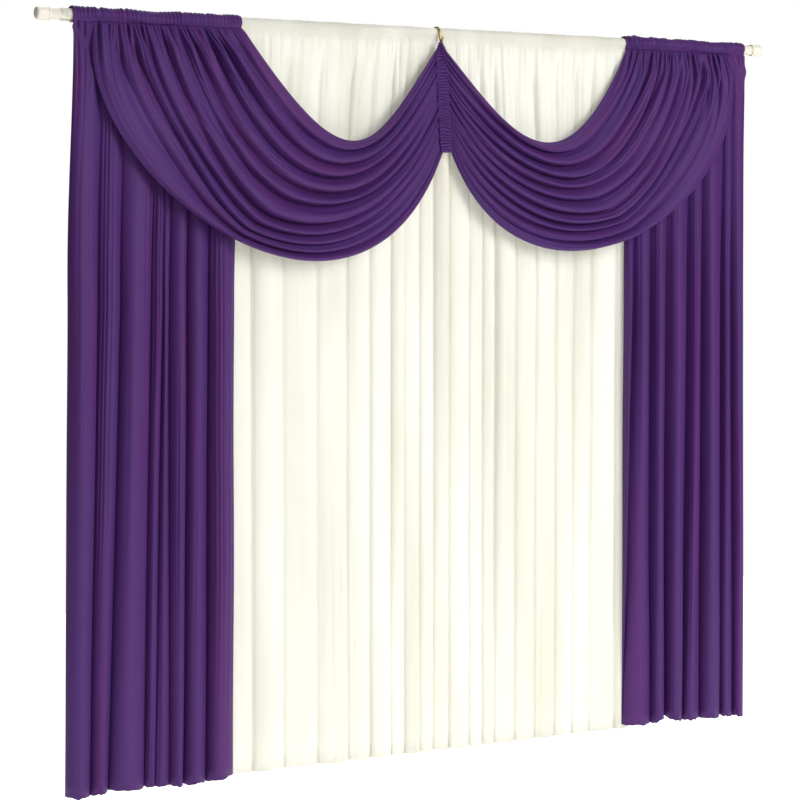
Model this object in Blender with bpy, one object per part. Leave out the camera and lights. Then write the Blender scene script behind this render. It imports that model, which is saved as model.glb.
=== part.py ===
"""Rod-pocket curtain: a sheer voile, two dark side panels and two swags on one rod.

X runs along the rod, -Y is the side that faces the room, +Z is up.
The origin lies on the rod's axis, half way along the rod.
"""

import math

import bmesh
import bpy
from mathutils import Vector

# Rod, caps and hook, in metres
ROD_SIDES = 12
ROD_RADIUS = 0.0125
ROD_LENGTH = 2.039
CAP_RADIUS = 0.015
CAP_LENGTH = 0.034
CAP_END_WALL = 0.005
CAP_EDGE = 0.002
OVERALL_LENGTH = 2.05
HOOK_X = 0.0205
HOOK_WIRE_RADIUS = 0.0018
HOOK_ARCH_RADIUS = 0.0168
HOOK_CURL_RADIUS = 0.006
HOOK_CURL_FORWARD = 0.0028
HOOK_CURL_DROP = 0.0125
HOOK_ARCH_ANGLES = range(290, 85, -18)
HOOK_CURL_ANGLES = range(0, 211, 30)
HOOK_BEVEL_RESOLUTION = 1

# Cloth thickness and the clearance between two touching pieces
CLOTH = 0.001
GAP = 0.0003

# Rows of points across one fold
VOILE_FOLD_STEPS = 3
PANEL_FOLD_STEPS = 4
SWAG_FOLD_STEPS = 4

# Rod pockets: radius of the middle of the cloth, the pocket's polygon matches the rod's
VOILE_POCKET_RADIUS = ROD_RADIUS + GAP + CLOTH / 2
PANEL_POCKET_RADIUS = VOILE_POCKET_RADIUS + CLOTH + GAP
POCKET_FIRST_ANGLE = 330
POCKET_LAST_ANGLE = 60
SEAM_Z = -0.0165

# Lengths of the cloth below the rod's axis, and the levels that carry a row of points
VOILE_DROP = 1.780
VOILE_LEAN_DROP = 0.30
VOILE_POCKET_OVERHANG = 0.022
FOLD_LEVELS = (0.045, 0.09, 0.16, 0.28, 0.45, 0.65, 1.0, 1.4)

# The back of the folds: how far in front of the rod's axis their valleys hang
VOILE_SEAM_Y = -0.0062
VOILE_BACK_Y = 0.008
VOILE_TURNED_END = (-0.0042, -0.0157)
PANEL_SEAM_Y = -0.0075
PANEL_BACK_Y = -0.013
PANEL_TURNED_END = (-0.0032, -0.0174)
OPENING_DROP = 0.13
PANEL_EARLY_OPENING = 0.38
PANEL_LATE_START = 0.10
PANEL_LATE_DROP = 0.75
FOLD_ROUNDNESS = 0.8

# Voile: x of each valley at the heading and lower down, and how far the ridge after it stands out
VOILE_FOLDS = (
    (-0.944, -0.936, 0.012),
    (-0.885, -0.875, 0.014),
    (-0.805, -0.800, 0.014),
    (-0.725, -0.725, 0.014),
    (-0.645, -0.645, 0.014),
    (-0.565, -0.565, 0.012),
    (-0.479, -0.487, 0.016),
    (-0.383, -0.403, 0.013),
    (-0.301, -0.311, 0.016),
    (-0.211, -0.228, 0.012),
    (-0.155, -0.165, 0.010),
    (-0.100, -0.105, 0.010),
    (-0.065, -0.067, 0.010),
    (-0.025, -0.024, 0.010),
    (0.015, 0.016, 0.014),
    (0.058, 0.060, 0.010),
    (0.094, 0.120, 0.012),
    (0.140, 0.158, 0.010),
    (0.182, 0.193, 0.014),
    (0.245, 0.255, 0.012),
    (0.303, 0.315, 0.013),
    (0.370, 0.378, 0.011),
    (0.428, 0.432, 0.010),
    (0.482, 0.484, 0.012),
    (0.547, 0.565, 0.012),
    (0.620, 0.630, 0.014),
    (0.700, 0.700, 0.014),
    (0.780, 0.775, 0.014),
    (0.865, 0.850, 0.014),
    (0.950, 0.930, 0.0),
)

# Side panels: x of each valley at the heading, half way and at the hem, how far
# the ridge after it stands out, and how far below the rod's axis its hem ends
LEFT_PANEL_FOLDS = (
    (-0.9400, -0.9600, -0.9730, 0.030, 1.784),
    (-0.8720, -0.8850, -0.9100, 0.024, 1.788),
    (-0.8150, -0.8300, -0.8640, 0.030, 1.778),
    (-0.7360, -0.7530, -0.7760, 0.018, 1.781),
    (-0.7060, -0.7240, -0.7480, 0.014, 1.781),
    (-0.6900, -0.7080, -0.7140, 0.028, 1.784),
    (-0.6420, -0.6650, -0.6770, 0.030, 1.785),
    (-0.5860, -0.6100, -0.6200, 0.034, 1.783),
    (-0.5170, -0.5420, -0.5470, 0.0, 1.774),
)
RIGHT_PANEL_FOLDS = (
    (0.5800, 0.5740, 0.5790, 0.016, 1.765),
    (0.6120, 0.6050, 0.6130, 0.024, 1.770),
    (0.6600, 0.6530, 0.6480, 0.026, 1.768),
    (0.7140, 0.7070, 0.6980, 0.030, 1.775),
    (0.7830, 0.7780, 0.7650, 0.024, 1.772),
    (0.8280, 0.8240, 0.8290, 0.030, 1.771),
    (0.8900, 0.8890, 0.8930, 0.018, 1.772),
    (0.9200, 0.9200, 0.9390, 0.022, 1.778),
    (0.9620, 0.9630, 0.9720, 0.0, 1.781),
)
PANEL_FOLD_LEVELS = (0.0, 0.65, 1.6)

# Swags: handles of the curves along the top edge and the bottom edge,
# from the heading to the centre strip, as x, y, z
LEFT_SWAG_TOP = (
    (-0.516, -0.0090, -0.0180),
    (-0.246, -0.0700, -0.3950),
    (-0.201, -0.0650, -0.3120),
    (0.012, -0.0235, -0.0260),
)
LEFT_SWAG_BOTTOM = (
    (-0.888, -0.0090, -0.0180),
    (-1.003, -0.0850, -0.3650),
    (-0.225, -0.0850, -0.8800),
    (0.017, -0.0275, -0.2860),
)
RIGHT_SWAG_TOP = (
    (0.583, -0.0090, -0.0180),
    (0.344, -0.0700, -0.4450),
    (0.188, -0.0650, -0.2240),
    (0.024, -0.0235, -0.0260),
)
RIGHT_SWAG_BOTTOM = (
    (0.919, -0.0090, -0.0180),
    (1.033, -0.0850, -0.3650),
    (0.235, -0.0850, -0.8220),
    (0.049, -0.0275, -0.2930),
)

# Swag folds: how far down from the top edge each valley lies at the heading,
# at the lowest point and at the strip, and how far the ridge below it stands out
LEFT_SWAG_FOLDS = (
    (0.000, 0.000, 0.00, 0.014),
    (0.116, 0.105, 0.11, 0.018),
    (0.204, 0.235, 0.21, 0.018),
    (0.286, 0.360, 0.31, 0.019),
    (0.380, 0.490, 0.41, 0.017),
    (0.469, 0.595, 0.51, 0.020),
    (0.585, 0.740, 0.61, 0.016),
    (0.690, 0.830, 0.71, 0.014),
    (0.790, 0.900, 0.81, 0.012),
    (0.900, 0.950, 0.91, 0.012),
    (1.000, 1.000, 1.00, 0.0),
)
RIGHT_SWAG_FOLDS = (
    (0.000, 0.000, 0.00, 0.015),
    (0.120, 0.130, 0.11, 0.018),
    (0.230, 0.270, 0.21, 0.018),
    (0.330, 0.390, 0.31, 0.017),
    (0.430, 0.490, 0.41, 0.017),
    (0.530, 0.600, 0.51, 0.018),
    (0.630, 0.700, 0.61, 0.018),
    (0.730, 0.790, 0.71, 0.015),
    (0.830, 0.860, 0.81, 0.014),
    (0.920, 0.930, 0.91, 0.013),
    (1.000, 1.000, 1.00, 0.0),
)
SWAG_STEPS = 14
SWAG_EDGE_RELIEF = 0.10
SWAG_RELIEF_POWER = 1.2

# Centre strip, ruched on its two side seams
STRIP_TOP_Z = -0.0232
STRIP_BOTTOM_Z = -0.292
STRIP_TOP_X = 0.0195
STRIP_BOTTOM_X = 0.0340
STRIP_TOP_Y = -0.0275
STRIP_BOTTOM_Y = -0.0360
STRIP_LEAN = 0.6
STRIP_WIDTH = 0.029
STRIP_TIP_WIDTH = 0.012
STRIP_SHOULDER = 0.035
STRIP_THICKNESS = 0.002
STRIP_RUCHES = 18
STRIP_RUCHE_HEIGHT = 0.0012
STRIP_ACROSS = (-1.0, -0.33, 0.33, 1.0)
STRIP_EDGE_HEIGHT = 0.4

# Loop that hangs the strip on the hook
LOOP_WIDTH = 0.003
LOOP_SLACK = 0.0009
LOOP_SIDES = 8

# Colours as linear red, green, blue
WHITE_ENAMEL = (0.86, 0.85, 0.79)
WHITE_CAP = (0.88, 0.87, 0.82)
BRASS = (0.50, 0.36, 0.17)
VOILE_CREAM = (0.93, 0.91, 0.85)
PURPLE_KNIT = (0.085, 0.032, 0.165)


def clear_scene():
    for old in list(bpy.data.objects):
        bpy.data.objects.remove(old, do_unlink=True)


def make_material(name, colour, roughness, metallic=0.0):
    material = bpy.data.materials.new(name)
    material.use_nodes = True
    shader = material.node_tree.nodes["Principled BSDF"]
    shader.inputs["Base Color"].default_value = (*colour, 1.0)
    shader.inputs["Roughness"].default_value = roughness
    shader.inputs["Metallic"].default_value = metallic
    return material


def add_object(name, bm, material):
    mesh = bpy.data.meshes.new(name)
    bm.to_mesh(mesh)
    bm.free()
    mesh.materials.append(material)
    mesh.shade_smooth()
    mesh.set_sharp_from_angle(angle=math.radians(40))
    piece = bpy.data.objects.new(name, mesh)
    bpy.context.collection.objects.link(piece)
    return piece


def blend(start, end, share):
    return start + (end - start) * share


def smooth(value):
    value = min(1.0, max(0.0, value))
    return value * value * (3.0 - 2.0 * value)


def round_fold(share):
    """A fold's section between two valleys: a round ridge, 0 in the valleys and 1 on top."""
    return math.sin(math.pi * share) ** FOLD_ROUNDNESS if 0.0 < share < 1.0 else 0.0


def on_circle(radius, degrees):
    """A point in the rod's section, turned from the bottom towards the room."""
    angle = math.radians(degrees)
    return Vector((0.0, -radius * math.sin(angle), -radius * math.cos(angle)))


def make_sheet(name, columns, thickness, material):
    """A cloth of even thickness on a net of points, one list of points for each column."""
    bm = bmesh.new()
    net = [[bm.verts.new(point) for point in column] for column in columns]
    for left, right in zip(net, net[1:]):
        for row in range(len(left) - 1):
            bm.faces.new((left[row], left[row + 1], right[row + 1], right[row]))
    sheet = add_object(name, bm, material)
    wall = sheet.modifiers.new("thickness", "SOLIDIFY")
    wall.thickness = thickness
    wall.offset = 0.0
    wall.use_rim = True
    return sheet


def fold_columns(folds, steps):
    """Each column's fold number and its share of the way across that fold."""
    count = len(folds) - 1
    columns = [(number, step / steps) for number in range(count) for step in range(steps)]
    columns.append((count - 1, 1.0))
    return columns


def pocket_points(radius, turned_end):
    """The pocket's section, from the turned-over end behind the rod round to the front."""
    angles = range(POCKET_FIRST_ANGLE, POCKET_LAST_ANGLE - 1, -360 // ROD_SIDES)
    return [Vector((0.0, *turned_end))] + [on_circle(radius, degrees) for degrees in angles]


def make_rod(material):
    bm = bmesh.new()
    bmesh.ops.create_cone(
        bm, cap_ends=True, segments=ROD_SIDES, radius1=ROD_RADIUS, radius2=ROD_RADIUS, depth=ROD_LENGTH
    )
    turn = Vector((0.0, 0.0, 1.0)).rotation_difference(Vector((1.0, 0.0, 0.0))).to_matrix()
    bmesh.ops.rotate(bm, verts=bm.verts, cent=(0.0, 0.0, 0.0), matrix=turn)
    return add_object("rod", bm, material)


def make_cap(name, side, material):
    """A cap that slips over the rod's end, turned from its half section."""
    outer_end = OVERALL_LENGTH / 2
    inner = ROD_RADIUS + GAP
    section = (
        (outer_end - CAP_END_WALL, 0.0),
        (outer_end - CAP_END_WALL, inner),
        (outer_end - CAP_LENGTH, inner),
        (outer_end - CAP_LENGTH, CAP_RADIUS),
        (outer_end - CAP_EDGE, CAP_RADIUS),
        (outer_end, CAP_RADIUS - CAP_EDGE),
        (outer_end, 0.0),
    )
    bm = bmesh.new()
    points = [bm.verts.new((side * x, 0.0, radius)) for x, radius in section]
    edges = [bm.edges.new(pair) for pair in zip(points, points[1:])]
    bmesh.ops.spin(
        bm,
        geom=points + edges,
        cent=(0.0, 0.0, 0.0),
        axis=(1.0, 0.0, 0.0),
        angle=math.tau,
        steps=ROD_SIDES,
        use_merge=True,
    )
    bmesh.ops.remove_doubles(bm, verts=bm.verts, dist=0.00001)
    bmesh.ops.recalc_face_normals(bm, faces=bm.faces)
    return add_object(name, bm, material)


def hook_path():
    """The wire's middle line, from behind the rod over its top and into a curl, and the curl's centre."""
    pocket_top = VOILE_POCKET_RADIUS + CLOTH / 2
    arch = Vector((HOOK_X, 0.0, pocket_top + GAP + HOOK_WIRE_RADIUS - HOOK_ARCH_RADIUS))
    path = [arch + on_circle(HOOK_ARCH_RADIUS, degrees) for degrees in HOOK_ARCH_ANGLES]
    front = path[-1]
    curl = front - Vector((0.0, HOOK_CURL_RADIUS + HOOK_CURL_FORWARD, HOOK_CURL_DROP))
    for degrees in HOOK_CURL_ANGLES:
        angle = math.radians(degrees)
        turn = Vector((0.0, math.cos(angle), -math.sin(angle)))
        path.append(curl + turn * HOOK_CURL_RADIUS)
    return path, curl


def make_hook(material):
    path = hook_path()[0]
    curve = bpy.data.curves.new("hook", "CURVE")
    curve.dimensions = "3D"
    curve.bevel_depth = HOOK_WIRE_RADIUS
    curve.bevel_resolution = HOOK_BEVEL_RESOLUTION
    curve.use_fill_caps = True
    spline = curve.splines.new("POLY")
    spline.points.add(len(path) - 1)
    for point, place in zip(spline.points, path):
        point.co = (*place, 1.0)
    curve.materials.append(material)
    hook = bpy.data.objects.new("hook", curve)
    bpy.context.collection.objects.link(hook)
    return hook


def make_loop(material):
    """A narrow band of cloth round the bottom of the hook's curl."""
    bottom = hook_path()[1] - Vector((0.0, 0.0, HOOK_CURL_RADIUS))
    inner = HOOK_WIRE_RADIUS + LOOP_SLACK
    outer = inner + CLOTH
    bm = bmesh.new()
    rings = []
    for radius in (inner, outer):
        for side in (-LOOP_WIDTH / 2, LOOP_WIDTH / 2):
            ring = []
            for number in range(LOOP_SIDES):
                angle = math.tau * number / LOOP_SIDES
                place = Vector((math.cos(angle) * radius, side, math.sin(angle) * radius))
                ring.append(bm.verts.new(bottom + place))
            rings.append(ring)
    inner_left, inner_right, outer_left, outer_right = rings
    for first, second in (
        (inner_left, inner_right),
        (inner_right, outer_right),
        (outer_right, outer_left),
        (outer_left, inner_left),
    ):
        for number in range(LOOP_SIDES):
            after = (number + 1) % LOOP_SIDES
            bm.faces.new((first[number], first[after], second[after], second[number]))
    bmesh.ops.recalc_face_normals(bm, faces=bm.faces)
    return add_object("hanging_loop", bm, material)


def make_voile(material):
    pocket = pocket_points(VOILE_POCKET_RADIUS, VOILE_TURNED_END)
    columns = []
    for number, share in fold_columns(VOILE_FOLDS, VOILE_FOLD_STEPS):
        before, after = VOILE_FOLDS[number], VOILE_FOLDS[number + 1]
        x, low_x = (blend(before[place], after[place], share) for place in (0, 1))
        ridge = before[2] * round_fold(share)
        pocket_x = x if columns else x - VOILE_POCKET_OVERHANG
        column = [Vector((pocket_x, point.y, point.z)) for point in pocket]
        column.append(Vector((x, VOILE_SEAM_Y, SEAM_Z)))
        for level in (*FOLD_LEVELS, VOILE_DROP):
            opened = smooth((level + SEAM_Z) / OPENING_DROP)
            y = blend(VOILE_SEAM_Y, VOILE_BACK_Y - ridge, opened)
            column.append(Vector((blend(x, low_x, smooth(level / VOILE_LEAN_DROP)), y, -level)))
        columns.append(column)
    return make_sheet("voile", columns, CLOTH, material)


def panel_x(folds, number, share, level):
    """Where a point of the panel hangs, by its place across the folds and its depth."""
    top, middle, low = PANEL_FOLD_LEVELS
    heading, half_way, hem = (
        blend(folds[number][place], folds[number + 1][place], share) for place in range(3)
    )
    if level < middle:
        return blend(heading, half_way, smooth((level - top) / (middle - top)))
    return blend(half_way, hem, (level - middle) / (low - middle))


def panel_opening(level):
    """How far the folds have opened below the heading, from 0 to 1."""
    early = smooth((level + SEAM_Z) / OPENING_DROP)
    late = smooth((level - PANEL_LATE_START) / PANEL_LATE_DROP)
    return blend(late, early, PANEL_EARLY_OPENING)


def make_panel(name, folds, material):
    pocket = pocket_points(PANEL_POCKET_RADIUS, PANEL_TURNED_END)
    columns = []
    for number, share in fold_columns(folds, PANEL_FOLD_STEPS):
        x = panel_x(folds, number, share, 0.0)
        ridge = folds[number][3] * round_fold(share)
        column = [Vector((x, point.y, point.z)) for point in pocket]
        column.append(Vector((x, PANEL_SEAM_Y, SEAM_Z)))
        drop = blend(folds[number][4], folds[number + 1][4], share)
        for level in (*FOLD_LEVELS, drop):
            back = blend(PANEL_SEAM_Y, PANEL_BACK_Y, smooth((level + SEAM_Z) / OPENING_DROP))
            y = back - ridge * panel_opening(level)
            column.append(Vector((panel_x(folds, number, share, level), y, -level)))
        columns.append(column)
    return make_sheet(name, columns, CLOTH, material)


def edge_point(handles, share):
    """A point on the cubic curve with these four handles."""
    rest = 1.0 - share
    weights = (rest**3, 3 * rest**2 * share, 3 * rest * share**2, share**3)
    point = Vector((0.0, 0.0, 0.0))
    for weight, handle in zip(weights, handles):
        point += Vector(handle) * weight
    return point


def fold_depth_share(row, along):
    """How far down from the top edge a valley lies, part way from the heading to the strip."""
    heading, lowest, strip = row[:3]
    if along < 0.5:
        return blend(heading, lowest, smooth(along * 2.0))
    return blend(lowest, strip, smooth(along * 2.0 - 1.0))


def strip_middle(z):
    """The middle of the centre strip at a height, and half its width there."""
    share = (z - STRIP_TOP_Z) / (STRIP_BOTTOM_Z - STRIP_TOP_Z)
    x = blend(STRIP_TOP_X, STRIP_BOTTOM_X, share)
    y = blend(STRIP_TOP_Y, STRIP_BOTTOM_Y, max(0.0, share) ** STRIP_LEAN)
    width = blend(STRIP_TIP_WIDTH, STRIP_WIDTH, smooth((STRIP_TOP_Z - z) / STRIP_SHOULDER))
    return Vector((x, y, z)), width / 2


def make_swag(name, top_edge, bottom_edge, folds, material):
    """A sheet between two edge curves, with folds that run from the heading to the strip."""
    columns = []
    for number, share in fold_columns(folds, SWAG_FOLD_STEPS):
        column = []
        for step in range(SWAG_STEPS + 1):
            along = step / SWAG_STEPS
            down = blend(
                fold_depth_share(folds[number], along),
                fold_depth_share(folds[number + 1], along),
                share,
            )
            point = blend(edge_point(top_edge, along), edge_point(bottom_edge, along), down)
            fullness = blend(SWAG_EDGE_RELIEF, 1.0, math.sin(math.pi * along) ** SWAG_RELIEF_POWER)
            if step == 0:
                fullness = 0.0
            point.y -= folds[number][3] * round_fold(share) * fullness
            column.append(point)
        columns.append(column)
    return make_sheet(name, columns, CLOTH, material)


def make_strip(material):
    """The ruched strip between the swags: even waves down its length."""
    rows = STRIP_RUCHES * 2
    columns = [[] for across in STRIP_ACROSS]
    for row in range(rows + 1):
        z = blend(STRIP_TOP_Z, STRIP_BOTTOM_Z, row / rows)
        middle, half = strip_middle(z)
        wave = STRIP_RUCHE_HEIGHT if row % 2 else 0.0
        for across, column in zip(STRIP_ACROSS, columns):
            crown = wave * (STRIP_EDGE_HEIGHT if abs(across) == 1.0 else 1.0)
            column.append(middle + Vector((across * half, -crown, 0.0)))
    return make_sheet("centre_strip", columns, STRIP_THICKNESS, material)


def main():
    clear_scene()
    enamel = make_material("white_enamel", WHITE_ENAMEL, 0.35)
    plastic_left = make_material("white_plastic_left", WHITE_CAP, 0.4)
    plastic_right = make_material("white_plastic_right", WHITE_CAP, 0.4)
    brass = make_material("brass_wire", BRASS, 0.35, 1.0)
    make_rod(enamel)
    make_cap("cap_left", -1.0, plastic_left)
    make_cap("cap_right", 1.0, plastic_right)
    make_hook(brass)
    make_voile(make_material("cream_voile", VOILE_CREAM, 0.8))
    make_panel("panel_left", LEFT_PANEL_FOLDS, make_material("knit_panel_left", PURPLE_KNIT, 0.7))
    make_panel("panel_right", RIGHT_PANEL_FOLDS, make_material("knit_panel_right", PURPLE_KNIT, 0.7))
    make_swag(
        "swag_left", LEFT_SWAG_TOP, LEFT_SWAG_BOTTOM, LEFT_SWAG_FOLDS,
        make_material("knit_swag_left", PURPLE_KNIT, 0.7),
    )
    make_swag(
        "swag_right", RIGHT_SWAG_TOP, RIGHT_SWAG_BOTTOM, RIGHT_SWAG_FOLDS,
        make_material("knit_swag_right", PURPLE_KNIT, 0.7),
    )
    make_strip(make_material("knit_strip", PURPLE_KNIT, 0.7))
    make_loop(make_material("knit_loop", PURPLE_KNIT, 0.7))


main()
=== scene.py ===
"""Curtain on a rod: sheer voile, two purple side panels, two swags and a ruched strip between them.

X runs along the rod, -Y is the side that faces the room, +Z is up. All sizes are metres.
"""

import math

import bmesh
import bpy
from bpy.props import FloatProperty, FloatVectorProperty, PointerProperty
from mathutils import Matrix, Vector, noise


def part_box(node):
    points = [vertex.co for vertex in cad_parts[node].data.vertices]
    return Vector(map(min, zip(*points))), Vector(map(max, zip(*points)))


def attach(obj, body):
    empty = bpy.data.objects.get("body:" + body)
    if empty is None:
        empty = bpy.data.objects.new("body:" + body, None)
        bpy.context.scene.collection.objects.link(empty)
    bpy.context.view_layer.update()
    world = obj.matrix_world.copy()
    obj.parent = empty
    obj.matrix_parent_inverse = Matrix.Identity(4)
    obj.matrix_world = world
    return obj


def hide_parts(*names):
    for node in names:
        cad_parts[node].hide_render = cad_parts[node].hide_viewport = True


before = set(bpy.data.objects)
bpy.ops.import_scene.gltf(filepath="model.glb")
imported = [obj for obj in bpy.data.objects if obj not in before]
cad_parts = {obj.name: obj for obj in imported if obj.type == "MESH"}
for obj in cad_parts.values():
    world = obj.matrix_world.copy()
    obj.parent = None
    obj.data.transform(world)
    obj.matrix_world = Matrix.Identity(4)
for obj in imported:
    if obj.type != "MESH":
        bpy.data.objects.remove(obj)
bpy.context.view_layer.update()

bl_info = {
    "name": "Rod-pocket curtain with swags",
    "version": (1, 0),
    "blender": (4, 5, 0),
    "location": "3D View > Sidebar > Curtain",
    "description": "Builds the cloth, the rod and the fittings of a swagged curtain round its solids",
    "category": "Object",
}

# Rod, caps and hook
ROD_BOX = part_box("rod")
CAP_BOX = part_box("cap_right")
HOOK_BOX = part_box("hook")
HOOK_X = (HOOK_BOX[0].x + HOOK_BOX[1].x) / 2
ROUND_SEGMENTS = 64
ROD_END_BEVEL = 0.0008
CAP_BORE_GAP = 0.0003
CAP_END_WALL = 0.005
CAP_FLARE = 0.0007
HOOK_ARCH_RADIUS = 0.0168
HOOK_CURL_RADIUS = 0.006
HOOK_CURL_FORWARD = 0.0028
HOOK_CURL_DROP = 0.0125
HOOK_WIRE_SWELL = 1.4
HOOK_PRESS_WIDTH = 0.018
HOOK_ARCH_ANGLES = range(290, 85, -6)
HOOK_CURL_ANGLES = range(0, 211, 10)
HOOK_FRONT_ANGLE = 92

# Columns and rows of the grids that the cloths are made from
VOILE_GRID = (638, 72)
PANEL_GRID = (384, 112)
SWAG_GRID = (128, 300)
STRIP_GRID = (24, 420)

# Rod pockets: radius of the middle of the cloth, the part of a turn that it goes round, and how
# much less of the turn and how much wider it is where it hangs slack
VOILE_POCKET_RADIUS = 0.0133
PANEL_POCKET_RADIUS = 0.0146
POCKET_FIRST_ANGLE = 335
POCKET_LAST_ANGLE = 66
POCKET_SLACK_ANGLE = 36.0
POCKET_SLACK_SAG = 0.4
SEAM_Z = -0.0120

# Shares of a grid's rows that make the pocket, and of the pocket's that make its turned-over end
VOILE_POCKET_SHARE = 0.16
PANEL_POCKET_SHARE = 0.17
POCKET_TURNED_SHARE = 0.06

# Puckers of a pocket: how many to a metre, and how far they stand out as a share of its radius
VOILE_PUCKERS = (70.0, 0.13)
PANEL_PUCKERS = (104.0, 0.52)

# Gathers under a pocket: how far they stand out, how many to a metre, how fast they wander on
# the way down, a seed, and the depth in which they fade. The knit's are shares of the height
# that each of its pieces gives them.
KNIT_GATHERS = (
    (0.58, 92.0, 3.0, 1.5, 0.08),
    (0.52, 47.0, 1.5, 7.3, 0.16),
)
VOILE_GATHERS = (
    (0.0085, 31.0, 0.8, 3.1, 0.32),
    (0.0046, 60.0, 1.2, 5.1, 0.22),
)
PANEL_GATHER_HEIGHT = 0.0110
SWAG_GATHER_HEIGHT = 0.0260

# Loose wrinkles between the folds: how far they stand out, and how many to a metre of voile,
# across a panel, or from a swag's top edge to its bottom edge
VOILE_WRINKLES = (0.0042, 25.0)
PANEL_WRINKLES = (0.0045, 34.0)
SWAG_WRINKLES = (0.0050, 34.0)

# Lengths of the cloth below the rod's axis
VOILE_DROP = 1.780
VOILE_LEAN_DROP = 0.30
VOILE_POCKET_OVERHANG = 0.022
VOILE_SIDE_INSET = 0.014
VOILE_RIGHT_RISE = 0.022
VOILE_RISE_WIDTH = 0.05

# The stretch of the voile that shows between the purple pockets, from x to x
VOILE_SHOWN_LEFT = -0.52
VOILE_SHOWN_RIGHT = 0.585
VOILE_SHOWN_FADE = 0.02

# Powers by which the rows of a grid crowd together near the heading
VOILE_ROW_POWER = 1.7
PANEL_ROW_POWER = 1.5

# How round a fold's section is: a low power makes a broad ridge, a high one a narrow crest
VOILE_FOLD_ROUNDNESS = 0.42
LEFT_PANEL_ROUNDNESS = 0.7
RIGHT_PANEL_ROUNDNESS = 1.05
PANEL_HEM_ROUNDNESS = 0.62
SWAG_FOLD_ROUNDNESS = 1.1

# How far in front of the rod's axis the backs of the folds hang
VOILE_SEAM_Y = -0.0081
VOILE_BACK_Y = 0.008
VOILE_TURNED_END = (-0.0042, -0.0157)
PANEL_SEAM_Y = -0.0092
PANEL_BACK_Y = -0.013
PANEL_TURNED_END = (-0.0032, -0.0174)
OPENING_DROP = 0.13
PANEL_EARLY_OPENING = 0.38
PANEL_LATE_START = 0.10
PANEL_LATE_DROP = 0.75

# Voile: x of each valley at the heading and lower down, and how far the ridge after it stands out
VOILE_FOLDS = (
    (-0.944, -0.936, 0.008),
    (-0.885, -0.875, 0.009),
    (-0.805, -0.800, 0.009),
    (-0.725, -0.725, 0.009),
    (-0.645, -0.645, 0.009),
    (-0.565, -0.565, 0.012),
    (-0.479, -0.487, 0.016),
    (-0.383, -0.403, 0.013),
    (-0.301, -0.311, 0.016),
    (-0.211, -0.228, 0.012),
    (-0.155, -0.165, 0.010),
    (-0.100, -0.105, 0.010),
    (-0.065, -0.067, 0.010),
    (-0.025, -0.024, 0.010),
    (0.015, 0.016, 0.014),
    (0.058, 0.060, 0.010),
    (0.094, 0.120, 0.012),
    (0.140, 0.158, 0.010),
    (0.182, 0.193, 0.014),
    (0.245, 0.255, 0.012),
    (0.303, 0.315, 0.013),
    (0.370, 0.378, 0.011),
    (0.428, 0.432, 0.010),
    (0.482, 0.484, 0.012),
    (0.547, 0.565, 0.012),
    (0.620, 0.630, 0.009),
    (0.700, 0.700, 0.009),
    (0.780, 0.775, 0.009),
    (0.865, 0.850, 0.007),
    (0.950, 0.930, 0.0),
)

# Side panels: x of each valley at the heading, half way and at the hem, how far
# the ridge after it stands out, and how far below the rod's axis its hem ends
LEFT_PANEL_FOLDS = (
    (-0.940, -0.960, -0.973, 0.030, 1.784),
    (-0.872, -0.885, -0.910, 0.024, 1.788),
    (-0.815, -0.830, -0.864, 0.030, 1.778),
    (-0.736, -0.753, -0.776, 0.018, 1.781),
    (-0.706, -0.724, -0.748, 0.014, 1.781),
    (-0.690, -0.708, -0.714, 0.028, 1.784),
    (-0.642, -0.665, -0.677, 0.030, 1.785),
    (-0.586, -0.610, -0.620, 0.034, 1.783),
    (-0.517, -0.542, -0.547, 0.0, 1.774),
)
RIGHT_PANEL_FOLDS = (
    (0.580, 0.574, 0.579, 0.020, 1.765),
    (0.612, 0.605, 0.583, 0.029, 1.767),
    (0.660, 0.656, 0.662, 0.030, 1.769),
    (0.714, 0.707, 0.710, 0.038, 1.756),
    (0.783, 0.778, 0.770, 0.030, 1.771),
    (0.828, 0.824, 0.826, 0.036, 1.771),
    (0.890, 0.889, 0.893, 0.022, 1.772),
    (0.920, 0.920, 0.934, 0.026, 1.776),
    (0.962, 0.963, 0.972, 0.0, 1.779),
)
PANEL_FOLD_LEVELS = (0.0, 0.65, 1.6)
PANEL_MERGED_WIDTH = 0.012
PANEL_HEM_WAVE = 0.004
PANEL_SWAY = 0.0025

# How far a ridge leans to the left for each metre that it stands out
LEFT_PANEL_LEAN = 0.2
RIGHT_PANEL_LEAN = 0.37
LEFT_SWAG_LEAN = 0.2
RIGHT_SWAG_LEAN = 0.5

# Where a panel's pocket hangs slack, and the slanting creases below the heading's outer end:
# the ends of each as x and the depth below the rod's axis, its width and its depth
LEFT_SLACK_PLACE = -0.735
RIGHT_SLACK_PLACE = 0.86
PANEL_SLACK_WIDTH = 0.05
LEFT_PANEL_CREASES = (
    (((-0.935, 0.028), (-0.896, 0.078)), 0.006, 0.014),
    (((-0.896, 0.078), (-0.894, 0.115)), 0.005, 0.009),
)
RIGHT_PANEL_CREASES = (
    (((0.932, 0.022), (0.950, 0.075)), 0.005, 0.012),
    (((0.950, 0.075), (0.945, 0.110)), 0.004, 0.008),
)

# The small frill of a panel's right edge: its depth below the rod's axis, half its height
# and how far it stands out
LEFT_PANEL_FRILLS = ()
RIGHT_PANEL_FRILLS = ((0.060, 0.014, 0.006),)

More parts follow.
